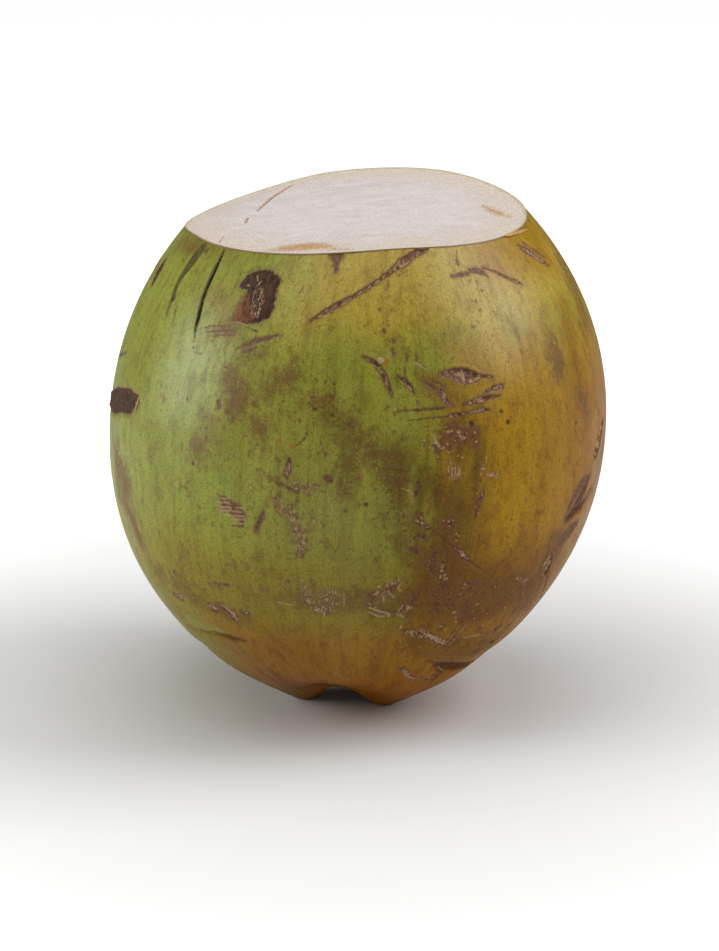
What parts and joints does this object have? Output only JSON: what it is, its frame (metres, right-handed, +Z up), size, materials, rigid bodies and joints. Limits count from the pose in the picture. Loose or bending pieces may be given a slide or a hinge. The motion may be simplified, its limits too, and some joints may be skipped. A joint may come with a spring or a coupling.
{
  "type": "green coconut",
  "caption": "Whole green drinking coconut in its smooth husk, standing on its stem end, with the crown sliced off to show the pale fibres of the husk.",
  "frame": {"origin": "on the surface that the fruit stands on, under the middle of its widest level", "axes": "+Z up from the stem end to the sliced crown, -Y the side with the notch between two toes, +X to its right"},
  "size_m": [0.1651, 0.165, 0.173],
  "materials": {
    "husk": "smooth waxy green skin, ochre on one side and brown towards the stem, with corky scars; the sliced face is pale damp fibre"
  },
  "bodies": {
    "root": {"coconut": "husk"}
  },
  "joints": []
}
